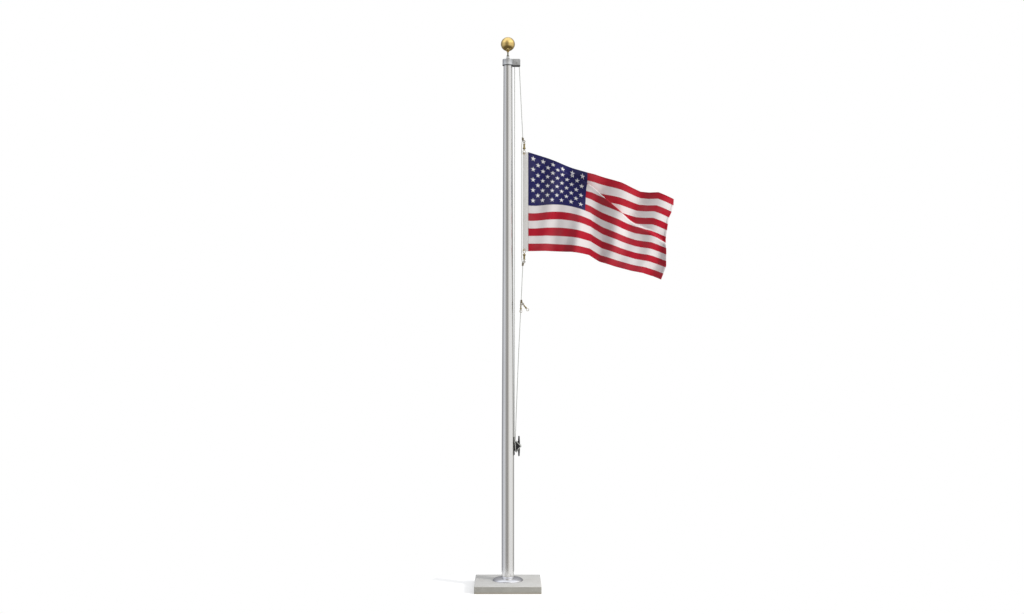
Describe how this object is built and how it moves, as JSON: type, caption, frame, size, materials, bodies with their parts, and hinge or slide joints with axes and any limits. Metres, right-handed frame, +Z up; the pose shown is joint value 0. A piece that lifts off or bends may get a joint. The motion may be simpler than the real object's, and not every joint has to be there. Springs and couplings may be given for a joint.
{
  "type": "flagpole",
  "caption": "Tapered aluminium flagpole on a square concrete pad, with ball finial, outside halyard over a truck sheave, cleat, snap hooks and a striped flag flying from it.",
  "frame": {"origin": "centre of the concrete pad's underside, on the ground", "axes": "+Z up the pole, +X from the pole towards the halyard and the flag"},
  "size_m": [2.7472, 0.914, 7.62],
  "materials": {
    "concrete": "matte",
    "spun_aluminium": "polished",
    "satin_aluminium": "satin",
    "cast_aluminium": "satin",
    "steel": "satin",
    "sheave_nylon": "matte",
    "spindle_metal": "satin",
    "brass_light": "gloss",
    "gold_anodised": "gloss",
    "cast_dark": "satin",
    "rope": "matte",
    "brass": "satin",
    "canvas": "matte",
    "flag_nylon": "matte"
  },
  "bodies": {
    "mast": {"concrete_pad": "concrete", "flash_collar": "spun_aluminium", "pole_shaft": "satin_aluminium", "truck_body": "cast_aluminium", "truck_set_screws": "steel", "sheave_pin": "steel", "sheave_pin_nut": "steel", "finial_spindle": "spindle_metal", "finial_lower_nut": "spindle_metal", "finial_upper_nut": "brass_light", "finial_ball": "gold_anodised", "halyard_cleat": "cast_dark", "cleat_screws": "steel", "halyard_inner_run": "rope", "halyard_sheave_wrap": "rope", "halyard_upper_run": "rope", "halyard_lower_run": "rope", "halyard_cleat_turns": "rope"},
    "sheave": {"pulley_sheave": "sheave_nylon"},
    "hoist_line": {"halyard_flag_run": "rope", "halyard_mid_run": "rope", "upper_knot": "rope", "upper_snap_eye": "brass", "lower_knot": "rope", "lower_snap_eye": "brass", "spare_knot": "rope", "spare_snap_eye": "brass", "spare_snap_hook": "brass", "spare_snap_gate": "brass", "spare_snap_eye_2": "brass", "spare_snap_hook_2": "brass", "spare_snap_gate_2": "brass"},
    "flag": {"upper_snap_hook": "brass", "upper_snap_gate": "brass", "lower_snap_hook": "brass", "lower_snap_gate": "brass", "upper_grommet": "brass_light", "lower_grommet": "brass_light", "flag_heading": "canvas", "flag_cloth": "flag_nylon"}
  },
  "joints": [
    {"name": "flag_hoist", "type": "slide", "parent": "mast", "child": "hoist_line", "axis": [0, 0, 1], "range_m": [-1.6, 0.85], "deforming": ["halyard_upper_run", "halyard_lower_run"]},
    {"name": "flag_swing", "type": "hinge", "parent": "hoist_line", "child": "flag", "pos_m": [0.226, 0, 5.343], "axis": [0, 0, 1], "range_deg": [-110, 110]},
    {"name": "sheave_spin", "type": "hinge", "parent": "mast", "child": "sheave", "pos_m": [0.125, 0, 7.262], "axis": [0, 1, 0], "continuous": true}
  ],
  "couplings": [
    {"joint": "sheave_spin", "follows": "flag_hoist", "rad_per_m": -32.258}
  ]
}
